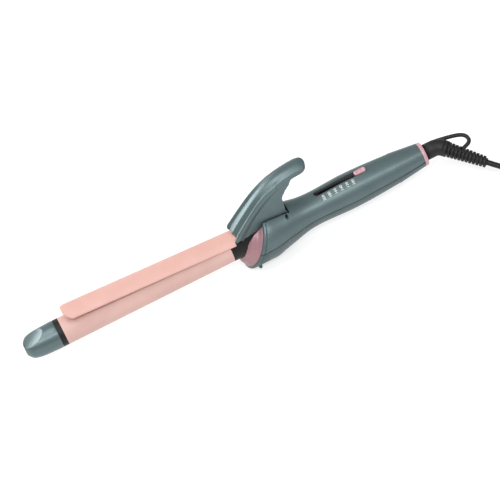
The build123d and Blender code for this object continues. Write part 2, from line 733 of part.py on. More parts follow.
# ---- Heat control: a bezel in the top shell, a slide resistor below it and a pink knob ----
slot_floor_depth = 1.4     # under the handle's neck
slot_floor_z = handle_z + neck_r - slot_floor_depth
bezel_floor = 1.0
stem_width = 1.6
knob_length = 9.7
knob_width = slot_width - 2 * running_gap
knob_stand = 0.7           # above the handle's belly
knob_corner_r = 1.6
knob_edge = 0.4
knob_rib_width = 0.5
knob_rib_depth = 0.35
knob_stem_length = 2.4
bezel_set_back = 0.15      # under the handle's surface
knob_top_z = handle_z + belly_r + knob_stand
knob_x = slot_front_x + slot_length - running_gap - knob_length / 2
knob_travel = slot_length - knob_length - 2 * running_gap
track_half = (slot_length - knob_length) / 2 + stem_width

with BuildPart() as slot_bezel:
    with BuildSketch(Plane.XY.offset(slot_floor_z - bezel_floor)):
        with Locations((slot_x, 0)):
            SlotOverall(bezel_length - 2 * fit_gap, bezel_width - 2 * fit_gap)
    extrude(amount=mouth_r)
    add(handle_form(bezel_set_back), mode=Mode.INTERSECT)
    with BuildSketch(Plane.XY.offset(slot_floor_z)):
        with Locations((slot_x, 0)):
            SlotOverall(slot_length, slot_width)
    extrude(amount=mouth_r, mode=Mode.SUBTRACT)
    with BuildSketch(Plane.XY.offset(handle_z)):
        with Locations((slot_x, 0)):
            Rectangle(2 * track_half, stem_width + 2 * running_gap)
    extrude(amount=mouth_r, mode=Mode.SUBTRACT)
save(slot_bezel, "slot_bezel")

pot_height = 5.0
pot_z = board_z + board_thickness
pot_end = 2.0              # past the bezel at each end
pot_corner_r = 0.8
pot_length = bezel_length + 2 * pot_end
pot_width = 9.0
pot_floor = 2.0            # under the knob's stem
stem_low_z = pot_z + pot_floor
with BuildPart() as slide_resistor:
    with BuildSketch(Plane.XY.offset(pot_z)):
        with Locations((slot_x, 0)):
            Rectangle(pot_length, pot_width)
    extrude(amount=pot_height)
    fillet(slide_resistor.edges().filter_by(Axis.Z), pot_corner_r)
    with BuildSketch(Plane.XY.offset(stem_low_z - running_gap)):
        with Locations((slot_x, 0)):
            Rectangle(2 * track_half, stem_width + 2 * running_gap)
    extrude(amount=pot_height, mode=Mode.SUBTRACT)
save(slide_resistor, "slide_resistor")

knob_rib_pitch = 1.5
with BuildPart() as heat_slider:
    with BuildSketch(Plane.XY.offset(slot_floor_z + running_gap)):
        with Locations((knob_x, 0)):
            RectangleRounded(knob_length, knob_width, knob_corner_r)
    extrude(amount=knob_top_z - slot_floor_z - running_gap)
    chamfer(heat_slider.faces().sort_by(Axis.Z)[-1].edges(), knob_edge)
    with BuildSketch(Plane.XY.offset(knob_top_z)):
        with GridLocations(knob_rib_pitch, 1, 4, 1):
            with Locations((knob_x, 0)):
                Rectangle(knob_rib_width, knob_width)
    extrude(amount=-knob_rib_depth, mode=Mode.SUBTRACT)
    with BuildSketch(Plane.XY.offset(stem_low_z)):
        with Locations((knob_x, 0)):
            Rectangle(knob_stem_length, stem_width)
    extrude(amount=slot_floor_z + 2 * running_gap - stem_low_z)
save(heat_slider, "heat_slider")

# ---- Circuit board, its parts and the wires to the heater ----
with BuildPart() as circuit_board:
    with BuildSketch(Plane.XY.offset(board_z)):
        with Locations((board_x + board_length / 2, 0)):
            Rectangle(board_length, board_width)
    extrude(amount=board_thickness)
save(circuit_board, "circuit_board")

relay_at = 20.0            # behind the board's front
chip_inset = 26.0          # ahead of its back
capacitor_inset = 13.0
relay_size = (16.0, 7.0, 8.0)
chip_size = (10.0, 9.0, 3.2)
capacitor_r = 3.4
capacitor_depth = 7.0
relay_x = board_x + relay_at
chip_x = board_x + board_length - chip_inset
with BuildPart() as board_components:
    for place_x, (length, width, depth) in ((relay_x, relay_size), (chip_x, chip_size)):
        with BuildSketch(Plane.XY.offset(board_z)):
            with Locations((place_x, 0)):
                Rectangle(length, width)
        extrude(amount=-depth)
    with BuildSketch(Plane.XY.offset(board_z)):
        with Locations((board_x + board_length - capacitor_inset, 0)):
            Circle(capacitor_r)
    extrude(amount=-capacitor_depth)
save(board_components, "board_components")

lead_r = 0.9
lead_y = 4.6
lead_z = board_z - lead_r
fuse_r = 2.0
fuse_length = 11.0
fuse_set_back = 3.0        # behind the heater
fuse_edge_r = 0.5
lead_lap = 3.5             # of the leads under the board
fuse_x = heater_back_x + fuse_set_back
lead_back_x = board_x + lead_lap
with BuildPart() as heater_leads:
    for y, start, stop in ((-lead_y, heater_back_x, lead_back_x),
                           (lead_y, heater_back_x, fuse_x),
                           (lead_y, fuse_x + fuse_length, lead_back_x)):
        with BuildSketch(Plane(origin=(start, y, lead_z), x_dir=(0, 1, 0), z_dir=(1, 0, 0))):
            Circle(lead_r)
        extrude(amount=stop - start)
save(heater_leads, "heater_leads")

with BuildPart() as thermal_fuse:
    with BuildSketch(Plane(origin=(fuse_x, lead_y, lead_z), x_dir=(0, 1, 0), z_dir=(1, 0, 0))):
        Circle(fuse_r)
    extrude(amount=fuse_length)
    fillet(thermal_fuse.edges().filter_by(GeomType.CIRCLE), fuse_edge_r)
save(thermal_fuse, "thermal_fuse")

sensor_r = 1.2
sensor_length = 4.0
sensor_y = -5.2
sensor_lead_r = 0.4
sensor_lead_half = 0.6
sensor_lead_lap = 1.5      # of the leads over the board
sensor_tip_r = 0.5
sensor_z = board_z + board_thickness + sensor_lead_r
with BuildPart() as heat_sensor:
    with BuildSketch(across(heater_back_x, sensor_z)):
        with Locations((sensor_y, 0)):
            Circle(sensor_r)
    extrude(amount=sensor_length)
    fillet(heat_sensor.edges().filter_by(GeomType.CIRCLE).sort_by(Axis.X)[-1], sensor_tip_r)
    with BuildSketch(across(heater_back_x + sensor_length, sensor_z)):
        with Locations((sensor_y - sensor_lead_half, 0), (sensor_y + sensor_lead_half, 0)):
            Circle(sensor_lead_r)
    extrude(amount=board_x + sensor_lead_lap - heater_back_x - sensor_length)
save(heat_sensor, "heat_sensor")

# ---- Swivel: a spool that turns in the end wall and carries two brass rings ----
spool_length = 15.0
spool_front_x = spool_flange_x - spool_length
spool_core_r = 3.6
slip_ring_r = 4.8
slip_ring_width = 1.8
slip_ring_inset = 1.0
slip_ring_pitch = 4.5
slip_ring_places = [spool_front_x + slip_ring_inset,
                    spool_front_x + slip_ring_inset + slip_ring_pitch]
guard_front_x = end_x + running_gap
cord_r = 2.2

with BuildPart() as swivel_spool:
    with BuildSketch(across(spool_front_x, handle_z)):
        Circle(spool_core_r)
    extrude(amount=spool_flange_x - spool_front_x)
    with BuildSketch(across(spool_flange_x - flange_width, handle_z)):
        Circle(flange_r)
    extrude(amount=flange_width)
    with BuildSketch(across(spool_flange_x, handle_z)):
        Circle(journal_r)
    extrude(amount=guard_front_x - spool_flange_x)
save(swivel_spool, "swivel_spool")

with BuildPart() as slip_rings:
    for x in slip_ring_places:
        with BuildSketch(across(x, handle_z)):
            Circle(slip_ring_r)
            Circle(spool_core_r + fit_gap / 2, mode=Mode.SUBTRACT)
        extrude(amount=slip_ring_width)
save(slip_rings, "slip_rings")

brush_block_length = 8.6
brush_block_width = 7.0
brush_block_at = 4.2       # behind the spool's front
brush_block_height = 4.2
brush_height = 0.6
brush_width = 3.0
brush_inset = 0.2          # from the ring's edges
brush_gap = 0.3
brush_block_x = spool_front_x + brush_block_at
brush_block_z = handle_z - slip_ring_r - brush_gap - brush_height - brush_block_height
with BuildPart() as brush_block:
    with BuildSketch(Plane.XY.offset(brush_block_z)):
        with Locations((brush_block_x, 0)):
            Rectangle(brush_block_length, brush_block_width)
    extrude(amount=brush_block_height)
    add(handle_form(handle_wall + fit_gap), mode=Mode.INTERSECT)
save(brush_block, "brush_block")

with BuildPart() as brush_contacts:
    for x in slip_ring_places:
        with BuildSketch(Plane.XY.offset(brush_block_z + brush_block_height)):
            with Locations((x + slip_ring_width / 2, 0)):
                Rectangle(slip_ring_width - 2 * brush_inset, brush_width)
        extrude(amount=brush_height)
save(brush_contacts, "brush_contacts")

# ---- Cord guard: a moulded elbow and a slotted, tapered strain relief ----
guard_r = 6.5
guard_neck = 12.3          # from the end ring to the corner of the bend
elbow_lap = 0.5            # of the elbow over the ribbed part
cut_clear = 1.0            # past the guard's side, for the cuts between its ribs
guard_bend = 49.5          # degrees
guard_bend_r = 9.5
guard_roll = 20.0          # the bend's plane leans this much under the horizontal
guard_plain = 8.2          # from the bend's corner to the first rib
guard_length = 40.5        # from the bend's corner to the guard's end
guard_tail_r = 4.9
slot_count = 10
slot_gap = 1.15
slot_depth_r = 3.4
slot_web = 2.6

bend = radians(guard_bend)
roll = radians(guard_roll)
out_dir = Vector(0, cos(roll), sin(roll))
tail_dir = Vector(cos(bend), 0, 0) - out_dir * sin(bend)
guard_corner = Vector(end_x + guard_neck, 0, handle_z)
guard_end = guard_corner + tail_dir * guard_length
tail_side = Vector(sin(bend), 0, 0) + out_dir * cos(bend)
arc_cut = guard_bend_r * tan(bend / 2)
tail_start = guard_corner + tail_dir * arc_cut
ribbed_start = guard_corner + tail_dir * guard_plain
rib_pitch = (guard_length - guard_plain) / slot_count

with BuildPart() as guard_body:
    with BuildLine() as neck_line:
        FilletPolyline(Vector(guard_front_x, 0, handle_z), guard_corner,
                       guard_corner + tail_dir * (arc_cut + elbow_lap), radius=guard_bend_r)
    with BuildSketch(across(guard_front_x, handle_z)):
        Circle(guard_r)
    sweep(path=neck_line.line)
    with BuildSketch(Plane(origin=tail_start, x_dir=tail_side, z_dir=tail_dir)):
        Circle(guard_r)
    with BuildSketch(Plane(origin=guard_end, x_dir=tail_side, z_dir=tail_dir)):
        Circle(guard_tail_r)
    loft()

with BuildPart() as guard_slots:
    for i in range(slot_count):
        slot_start = ribbed_start + tail_dir * (i * rib_pitch)
        turn = 90 * (i % 2)
        plane = Plane(origin=slot_start, x_dir=tail_side, z_dir=tail_dir).rotated((0, 0, turn))
        with BuildSketch(plane):
            Circle(guard_r + cut_clear)
            Circle(slot_depth_r, mode=Mode.SUBTRACT)
            Rectangle(3 * guard_r, slot_web, mode=Mode.SUBTRACT)
        extrude(amount=slot_gap)

with BuildPart() as cord_guard:
    add(guard_body.part)
    add(guard_slots.part, mode=Mode.SUBTRACT)
save(cord_guard, "cord_guard")

# ---- Hang loop: moulded on the outside of the bend ----
loop_r = 1.6
loop_corner_r = 4.2
# (along the tail, away from its centre line) of the loop's corners
loop_places = [(-3.6, 3.9), (12.4, 16.0), (22.9, 12.7), (19.4, 3.9)]


def beside_tail(along, away):
    """A point beside the guard's tail, in the plane of the bend."""
    return guard_corner + tail_dir * along + tail_side * away


with BuildPart() as hang_loop:
    with BuildLine() as loop_line:
        FilletPolyline(*[beside_tail(*place) for place in loop_places], radius=loop_corner_r)
    with BuildSketch(Plane(origin=loop_line.line @ 0, z_dir=loop_line.line % 0)):
        Circle(loop_r)
    sweep(path=loop_line.line)
    add(guard_body.part, mode=Mode.SUBTRACT)
save(hang_loop, "hang_loop")

# ---- Cord: a free stretch down to the table, and the rest wound into a tied coil ----
cord_turn_gap = 0.1
cord_pitch = 2 * cord_r + cord_turn_gap
coil_behind = 93.4         # behind the iron's end
coil_aside = 35.4          # and beside it
coil_centre = Vector(end_x + coil_behind, -coil_aside, 0)
coil_mid_r = 24.0
coil_columns = 3
coil_layers = 4
coil_corner_r = 3.0
tie_thickness = 0.8
tie_width = 8.0
tie_lift = 0.1
coil_low_z = tie_lift + tie_thickness + fit_gap
coil_in_r = coil_mid_r - coil_columns * cord_pitch / 2
coil_out_r = coil_mid_r + coil_columns * cord_pitch / 2
coil_high_z = coil_low_z + coil_layers * cord_pitch


def corner_radii(points):
    """The largest tangent arc at each corner of a route: 0.45 of the shorter run beside it."""
    radii = []
    for before, corner, after in zip(points, points[1:], points[2:]):
        run_in, run_out = corner - before, after - corner
        turn = radians(run_in.get_angle(run_out))
        radii.append(0.45 * min(run_in.length, run_out.length) / tan(turn / 2))
    print("cord radii", [round(r, 1) for r in radii], "mm, tightest",
          round(min(radii) / (2 * cord_r), 1), "diameters")
    return radii


def cord_tube(points):
    """A cord's solid along straight runs joined by tangent arcs."""
    with BuildPart() as tube:
        with BuildLine() as route:
            FilletPolyline(*points, radius=corner_radii(points))
        with BuildSketch(Plane(origin=points[0], z_dir=points[1] - points[0])):
            Circle(cord_r)
        sweep(path=route.line)
    length = route.wire().length
    print("cord stretch", round(length, 1), "mm, volume over section times length",
          round(tube.part.volume / (pi * cord_r ** 2 * length), 4))
    return tube.part


cord_straight = 13.0       # before its first bend
# Corners of the two free stretches and the cord's entry into the plug, from the coil's centre
down_to_coil = [(-33.85, -13.2, 5.2), (-21.85, -25.8, 3.2), (-12.25, -31.2, 3.2)]
up_to_plug = [(-1.75, -33.2, 16.8), (14.05, -34.2, 14.2), (23.95, -30.6, 11.2),
              (31.65, -23.4, 8.5), (35.85, -13.8, 6.95), (35.85, -4.2, 6.95)]
cord_points = [guard_end, guard_end + tail_dir * cord_straight]
cord_points += [coil_centre + Vector(*corner) for corner in down_to_coil]
tail_points = [coil_centre + Vector(*corner) for corner in up_to_plug]
plug_entry = tail_points[-1]

with BuildPart() as cord:
    add(cord_tube(cord_points))
save(cord, "cord")

with BuildPart() as cord_tail:
    add(cord_tube(tail_points))
save(cord_tail, "cord_tail")

with BuildPart() as cord_coil:
    with BuildSketch(Plane(origin=coil_centre, x_dir=(1, 0, 0), z_dir=(0, -1, 0))):
        with Locations((coil_mid_r, (coil_low_z + coil_high_z) / 2)):
            RectangleRounded(coil_out_r - coil_in_r, coil_high_z - coil_low_z, coil_corner_r)
    revolve(axis=Axis(coil_centre, (0, 0, 1)))
save(cord_coil, "cord_coil")

with BuildPart() as cord_tie:
    with BuildSketch(Plane(origin=coil_centre, x_dir=(1, 0, 0), z_dir=(0, -1, 0))):
        with Locations((coil_mid_r, (coil_low_z + coil_high_z) / 2)):
            RectangleRounded(coil_out_r - coil_in_r + 2 * (fit_gap + tie_thickness),
                             coil_high_z - coil_low_z + 2 * (fit_gap + tie_thickness),
                             coil_corner_r + fit_gap + tie_thickness)
            RectangleRounded(coil_out_r - coil_in_r + 2 * fit_gap,
                             coil_high_z - coil_low_z + 2 * fit_gap, coil_corner_r + fit_gap,
                             mode=Mode.SUBTRACT)
    extrude(amount=tie_width / 2, both=True)
    add(cord_coil.part, mode=Mode.SUBTRACT)
save(cord_tie, "cord_tie")

# ---- Plug: a flat moulded two-pin plug with its own tapered strain relief ----
plug_relief_length = 17.0
plug_relief_r = 3.2
plug_relief_root_r = 5.0
plug_length = 35.3
plug_width = 26.2
plug_tail_width = 15.0
plug_thickness = 13.7
plug_front_length = 13.0   # behind its front, where it keeps its full width
plug_corner_r = 3.0
plug_edge_r = 1.8
plug_relief_lap = 1.5      # of the relief inside the body
plug_pin_r = 2.0
plug_pin_length = 19.0
plug_pin_spacing = 18.6
plug_back = plug_entry + Vector(0, plug_relief_length, 0)
plug_front = plug_back + Vector(0, plug_length, 0)

with BuildPart() as plug_body:
    with BuildSketch(Plane.XY.offset(plug_entry.Z - plug_thickness / 2)):
        with BuildLine():
            Polyline((plug_back.X - plug_tail_width / 2, plug_back.Y),
                     (plug_back.X - plug_width / 2, plug_front.Y - plug_front_length),
                     (plug_front.X - plug_width / 2, plug_front.Y),
                     (plug_front.X + plug_width / 2, plug_front.Y),
                     (plug_back.X + plug_width / 2, plug_front.Y - plug_front_length),
                     (plug_back.X + plug_tail_width / 2, plug_back.Y), close=True)
        make_face()
    extrude(amount=plug_thickness)
    fillet(plug_body.edges().filter_by(Axis.Z).group_by(Axis.Y)[:-1], plug_corner_r)
    fillet(plug_body.faces().filter_by(Axis.Z).edges(), plug_edge_r)
    with BuildSketch(Plane(origin=plug_back + Vector(0, plug_relief_lap, 0), x_dir=(1, 0, 0),
                           z_dir=(0, -1, 0))):
        Circle(plug_relief_root_r)
    with BuildSketch(Plane(origin=plug_entry, x_dir=(1, 0, 0), z_dir=(0, -1, 0))):
        Circle(plug_relief_r)
    loft()
save(plug_body, "plug_body")

with BuildPart() as plug_pins:
    with BuildSketch(Plane(origin=plug_front, x_dir=(1, 0, 0), z_dir=(0, 1, 0))):
        with GridLocations(plug_pin_spacing, 1, 2, 1):
            Circle(plug_pin_r)
    extrude(amount=plug_pin_length)
    fillet(plug_pins.edges().group_by(Axis.Y)[-1], 1.2)
save(plug_pins, "plug_pins")
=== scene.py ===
import bpy
import bmesh
from math import cos, hypot, pi, radians, sin, tan
from mathutils import Matrix, Vector
from mathutils.bvhtree import BVHTree


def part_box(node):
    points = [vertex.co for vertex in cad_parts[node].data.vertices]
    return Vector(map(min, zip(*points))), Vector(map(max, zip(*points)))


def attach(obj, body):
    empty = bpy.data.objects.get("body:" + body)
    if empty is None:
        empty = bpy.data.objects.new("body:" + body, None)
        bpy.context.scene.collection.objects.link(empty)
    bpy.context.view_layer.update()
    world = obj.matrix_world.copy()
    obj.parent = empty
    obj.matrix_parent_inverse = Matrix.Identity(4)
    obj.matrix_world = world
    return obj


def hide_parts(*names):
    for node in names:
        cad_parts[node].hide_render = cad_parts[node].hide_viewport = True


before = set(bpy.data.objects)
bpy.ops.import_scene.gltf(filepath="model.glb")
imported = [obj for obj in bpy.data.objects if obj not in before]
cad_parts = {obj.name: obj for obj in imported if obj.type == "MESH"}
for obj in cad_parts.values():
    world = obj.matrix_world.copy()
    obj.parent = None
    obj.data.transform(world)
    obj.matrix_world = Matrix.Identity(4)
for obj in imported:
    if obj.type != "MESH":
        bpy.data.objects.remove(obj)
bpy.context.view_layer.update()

# ---- Barrel -------------------------------------------------------------------------------
# A drawn aluminium tube of 22 mm, cut square at both ends, sprayed with a rose-pink ceramic coat
# and fired. The coat is satin, with a fine mica fleck.
MM = 0.001


def linear(tint):
    """An sRGB hex colour as the linear colour that the shader wants."""
    parts = [int(tint[i:i + 2], 16) / 255 for i in (1, 3, 5)]
    return tuple(c / 12.92 if c <= 0.04045 else ((c + 0.055) / 1.055) ** 2.4 for c in parts) + (1,)


def add_node(tree, kind, inputs=(), **settings):
    """A new node with its settings, and each input linked to a socket or set to a value."""
    made = tree.nodes.new(kind)
    for name, value in settings.items():
        setattr(made, name, value)
    for key, value in dict(inputs).items():
        if isinstance(value, bpy.types.NodeSocket):
            tree.links.new(value, made.inputs[key])
        else:
            made.inputs[key].default_value = value
    return made


def start_finish(name):
    """An empty node material, its tree, and the object's own coordinates in metres."""
    finish = bpy.data.materials.new(name)
    finish.use_nodes = True
    tree = finish.node_tree
    tree.nodes.clear()
    place = add_node(tree, "ShaderNodeTexCoord").outputs["Object"]
    return finish, tree, place


def close_finish(tree, **shader):
    """The shader and the output that end every finish here."""
    surface = add_node(tree, "ShaderNodeBsdfPrincipled",
                       {key.replace("_", " "): value for key, value in shader.items()})
    add_node(tree, "ShaderNodeOutputMaterial", {"Surface": surface.outputs["BSDF"]})


def mottled(tree, place, tint, shade, patch):
    """A colour that drifts a little between two tints over patches of this size in metres."""
    drift = add_node(tree, "ShaderNodeTexNoise", {"Vector": place, "Scale": 1 / patch,
                                                  "Detail": 3.0, "Roughness": 0.55})
    spread = add_node(tree, "ShaderNodeMapRange", {"Value": drift.outputs["Fac"],
                                                   "From Min": 0.35, "From Max": 0.65})
    # Inputs 0, 6 and 7 of a Mix node are its factor and its two colours.
    mix = add_node(tree, "ShaderNodeMix", {0: spread.outputs["Result"],
                                           6: linear(tint), 7: linear(shade)},
                   data_type="RGBA")
    return mix.outputs[2]


def grained(tree, place, grain, depth):
    """The normal of a spark-eroded or sprayed grain of this size and depth in metres.

    The real grain, of about 0.1 mm, is too fine to show, so it is drawn at 0.3 to 0.8 mm.
    """
    grit = add_node(tree, "ShaderNodeTexNoise", {"Vector": place, "Scale": 1 / grain,
                                                 "Detail": 2.0, "Roughness": 0.6})
    bump = add_node(tree, "ShaderNodeBump", {"Height": grit.outputs["Fac"], "Strength": 0.6,
                                             "Distance": depth})
    return bump.outputs["Normal"]


def moulded(name, tint, shade, roughness, grain, depth, metallic=0.0, coat=0.0, gloss=0.5,
            seam=None):
    """A moulded plastic or rubber: mottled a little, with the grain of its mould."""
    finish, tree, place = start_finish(name)
    colour = mottled(tree, place, tint, shade, 14 * MM)
    if seam:
        colour = seam(tree, place, colour)
    close_finish(tree, Base_Color=colour, Roughness=roughness,
                 Metallic=metallic, Coat_Weight=coat, Coat_Roughness=0.25, IOR=1.5,
                 Specular_IOR_Level=gloss,
                 Normal=grained(tree, place, grain, depth))
    return finish


def fired_coat(name, tint, shade):
    """Sprayed ceramic coat on bare metal: satin, warm, with a mica fleck.

    The real flecks are too fine to show, so they are drawn at 0.35 mm.
    """
    fleck_size = 0.35 * MM
    finish, tree, place = start_finish(name)
    fleck = add_node(tree, "ShaderNodeTexVoronoi", {"Vector": place, "Scale": 1 / fleck_size})
    bright = add_node(tree, "ShaderNodeMapRange", {"Value": fleck.outputs["Distance"],
                                                   "From Min": 0.0, "From Max": 0.16,
                                                   "To Min": 0.44, "To Max": 0.5})
    close_finish(tree, Base_Color=mottled(tree, place, tint, shade, 22 * MM),
                 Roughness=bright.outputs["Result"], IOR=1.5,
                 Coat_Weight=0.05, Coat_Roughness=0.3,
                 Normal=grained(tree, place, 0.5 * MM, 0.02 * MM))
    return finish


def joined(node, crease=32):
    """A copy of a CAD node's mesh with its triangles joined, smooth but for its edges."""
    loose = bmesh.new()
    loose.from_mesh(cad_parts[node].data)
    bmesh.ops.remove_doubles(loose, verts=loose.verts, dist=0.002 * MM)
    mesh = bpy.data.meshes.new(node + "_skin")
    loose.to_mesh(mesh)
    loose.free()
    mesh.polygons.foreach_set("use_smooth", [True] * len(mesh.polygons))
    mesh.set_sharp_from_angle(angle=radians(crease))
    return mesh


def in_scene(name, data):
    """A new object of this data in the scene."""
    made = bpy.data.objects.new(name, data)
    bpy.context.scene.collection.objects.link(made)
    return made


def settle(mesh, name, body, finish, slot=None, *nodes):
    """A finished mesh as a piece that rides on a body and stands for some CAD nodes."""
    piece = in_scene(name, mesh)
    mesh.materials.clear()
    mesh.materials.append(finish)
    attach(piece, body)
    if nodes:
        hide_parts(*nodes)
    return piece


def skin(node, body, finish, slot=None):
    """A CAD node's shape, joined and smooth, in a finish."""
    return settle(joined(node), node + "_skin", body, finish, slot, node)


barrel_coat = fired_coat("rose_ceramic_coat", "#caa59c", "#c49f97")
skin("barrel_tube", "iron", barrel_coat, slot="barrel_coat")

# ---- Tip cap and its ring -----------------------------------------------------------------
# The cap stays cool enough to hold: glass-filled nylon in the handle's grey-green, with a
# dished place for a fingertip. The black ring under it is PPS, which stands the barrel's heat.
pearl_tint, pearl_shade = "#5a6b6d", "#556669"

# Pearl pigment gives the cap a soft metallic sheen, and the ring's filled PPS stays dull.
cap_plastic = moulded("grey_green_nylon", pearl_tint, pearl_shade, 0.36, 0.5 * MM, 0.02 * MM,
                      metallic=0.45, coat=0.08)
black_pps = moulded("black_pps", "#1b1b1c", "#171718", 0.5, 0.4 * MM, 0.03 * MM, gloss=0.25)
ring_low, ring_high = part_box("tip_ring")
barrel_z = (ring_low.z + ring_high.z) / 2
tip_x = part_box("tip_cap")[0].x
cap_length = ring_low.x - tip_x
# The cap's outline as distance behind the tip and radius, and the dished place's own length,
# the heights of its ends above the barrel's axis, its sag and how far its sides curl up.
cap_outline = [(0.0, 0.0), (0.0, 3.4), (0.25, 4.7), (1.1, 6.1), (3.8, 8.7), (7.6, 9.9),
               (12.5, 10.6), (19.0, 10.9), (cap_length / MM, 10.9), (cap_length / MM, 8.0)]
dish_front, dish_back = 0.7, 17.6
dish_low, dish_high = 4.9, 10.6
dish_sag, dish_curl = 0.9, 0.016
cap_turns, curve_steps, cap_crease = 144, 10, radians(40)

# A smooth curve through the outline's points. The first and last only set how it starts and
# ends.
profile = []
for count in range(1, len(cap_outline) - 2):
    before, start, end, after = [Vector(cap_outline[count + k]) for k in (-1, 0, 1, 2)]
    for step in range(curve_steps):
        t = step / curve_steps
        profile.append(0.5 * (2 * start + (end - before) * t
                              + (2 * before - 5 * start + 4 * end - after) * t * t
                              + (3 * start - before - 3 * end + after) * t * t * t))
profile.append(Vector(cap_outline[-2]))
cap = bmesh.new()
rings = []
for along, r in profile:
    ring = []
    for turn in range(cap_turns):
        angle = 2 * pi * turn / cap_turns
        y, z = r * sin(angle), r * cos(angle)
        share = (along - dish_front) / (dish_back - dish_front)
        if 0 < share < 1:
            floor_z = dish_low + (dish_high - dish_low) * share
            floor_z += dish_curl * y * y - dish_sag * 4 * share * (1 - share)
            z = min(z, floor_z)
        ring.append(cap.verts.new((tip_x + along * MM, y * MM, barrel_z + z * MM)))
    rings.append(ring)
for ring, following in zip(rings, rings[1:]):
    for turn in range(cap_turns):
        cap.faces.new((ring[turn], following[turn], following[turn - 1], ring[turn - 1]))
cap.faces.new(rings[0])
cap.faces.new(rings[-1][::-1])
bmesh.ops.recalc_face_normals(cap, faces=cap.faces)
cap_mesh = bpy.data.meshes.new("tip_cap_skin")
cap.to_mesh(cap_mesh)
cap.free()
cap_mesh.polygons.foreach_set("use_smooth", [True] * len(cap_mesh.polygons))
cap_mesh.set_sharp_from_angle(angle=cap_crease)
settle(cap_mesh, "tip_cap_skin", "iron", cap_plastic, "cap_plastic", "tip_cap")
skin("tip_ring", "iron", black_pps, slot="black_plastic")

# ---- Heater ------------------------------------------------------------------------------
# A ceramic plate with its tracks fired in, held between two half-round extrusions of bare
# aluminium that carry the heat to the barrel's wall.


def bare_metal(name, tint, roughness, along=(1, 40, 40), depth=0.01 * MM):
    """A bare metal with drawing or turning marks, which catch the light in streaks.

    A mark is 17 mm long, divided on each axis by that axis's number in along.
    """
    marks_per_metre = 60.0
    finish, tree, place = start_finish(name)
    drawn = add_node(tree, "ShaderNodeMapping", {"Vector": place, "Scale": along})
    marks = add_node(tree, "ShaderNodeTexNoise", {"Vector": drawn.outputs["Vector"],
                                                  "Scale": marks_per_metre, "Detail": 4.0})
    rough = add_node(tree, "ShaderNodeMapRange", {"Value": marks.outputs["Fac"],
                                                  "To Min": roughness - 0.08,
                                                  "To Max": roughness + 0.1})
    bump = add_node(tree, "ShaderNodeBump", {"Height": marks.outputs["Fac"], "Distance": depth,
                                             "Strength": 0.5})
    close_finish(tree, Base_Color=linear(tint), Metallic=1.0,
                 Roughness=rough.outputs["Result"], Normal=bump.outputs["Normal"])
    return finish


def wear(node, finish):
    """A CAD node that keeps its own mesh gets its finish."""
    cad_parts[node].data.materials.clear()
    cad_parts[node].data.materials.append(finish)


# The extrusions have a dull shine with lengthwise die lines. Unglazed alumina is chalky.
extruded_aluminium = bare_metal("extruded_aluminium", "#b9bcbe", 0.38)
wear("heat_spreader_upper", extruded_aluminium)
wear("heat_spreader_lower", extruded_aluminium)
wear("ceramic_heater", moulded("alumina_ceramic", "#e9e6dc", "#ded9cc", 0.6, 0.3 * MM,
                               0.02 * MM))

# ---- Bush and collar ---------------------------------------------------------------------
# The bush is a black PPS sleeve that keeps the barrel's heat from the handle. The collar round it
# is a thin moulding in dusty-pink ABS, snapped into the slanted mouth; its tint is darker than the
# knob's, as painted shade.
skin("barrel_bush", "iron", black_pps, slot="black_plastic")

# Satin, with a little metallic share so it deepens where it turns from the light; the tint darker
# than the knob's is painted shade.
collar_abs_painted_shade = moulded("pink_abs_painted_shade", "#9b747a", "#946e74", 0.4, 0.6 * MM, 0.015 * MM,
                     metallic=0.2, coat=0.1)

# The slanted front crosses the axis this far behind the collar's foremost point.
nose_reach, mouth_lean = 6.95 * MM, radians(31.0)
collar_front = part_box("front_collar")[0].x + nose_reach
collar_face = 0.35 * MM
roll_at, roll_width, roll_height = 2.0 * MM, 2.6 * MM, 0.35 * MM
channel_at, channel_width, channel_depth = 6.2 * MM, 3.4 * MM, 1.3 * MM


def hump(place, middle, width):
    """One at the middle and nothing beyond the width, smooth between."""
    away = min(abs(place - middle) / width, 1.0)
    return (1 - away * away) ** 2


def plain_mesh(maker):
    """What an object's curve, text or modifiers make, as a plain mesh; the object goes."""
    made = bpy.data.meshes.new_from_object(
        maker.evaluated_get(bpy.context.evaluated_depsgraph_get()))
    bpy.data.objects.remove(maker)
    return made


def evened(mesh, face_size, moved):
    """The mesh made anew in even faces of this size, with each point moved."""
    maker = in_scene("evened", mesh)
    remesh = maker.modifiers.new("even", "REMESH")
    remesh.mode = "VOXEL"
    remesh.voxel_size = face_size
    remesh.use_smooth_shade = True
    soften = maker.modifiers.new("soft_edges", "SMOOTH")
    soften.factor = 0.5
    soften.iterations = 5
    even = plain_mesh(maker)
    for vertex in even.vertices:
        vertex.co = moved(vertex.co)
    return even


def dished_collar(point):
    """Where a point of the collar goes: a roll in front, and a channel before the mouth."""
    off_axis = Vector((0, point.y, point.z - barrel_z))
    behind = point.x - collar_front - off_axis.z * tan(mouth_lean)
    push = roll_height * hump(behind, roll_at, roll_width)
    push -= channel_depth * hump(behind, channel_at, channel_width)
    return point + off_axis.normalized() * push


settle(evened(joined("front_collar"), collar_face, dished_collar), "front_collar_skin", "iron",
       collar_abs_painted_shade, "pink_plastic", "front_collar")

# ---- Handle ------------------------------------------------------------------------------
# Two shells of ABS with a pearl pigment, moulded with a soft satin face and screwed together
# from below. The seam runs along the sides, and a lip follows the slanted mouth.
seam_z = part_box("handle_upper")[0].z
seam_half, seam_dark = 0.45 * MM, 0.85


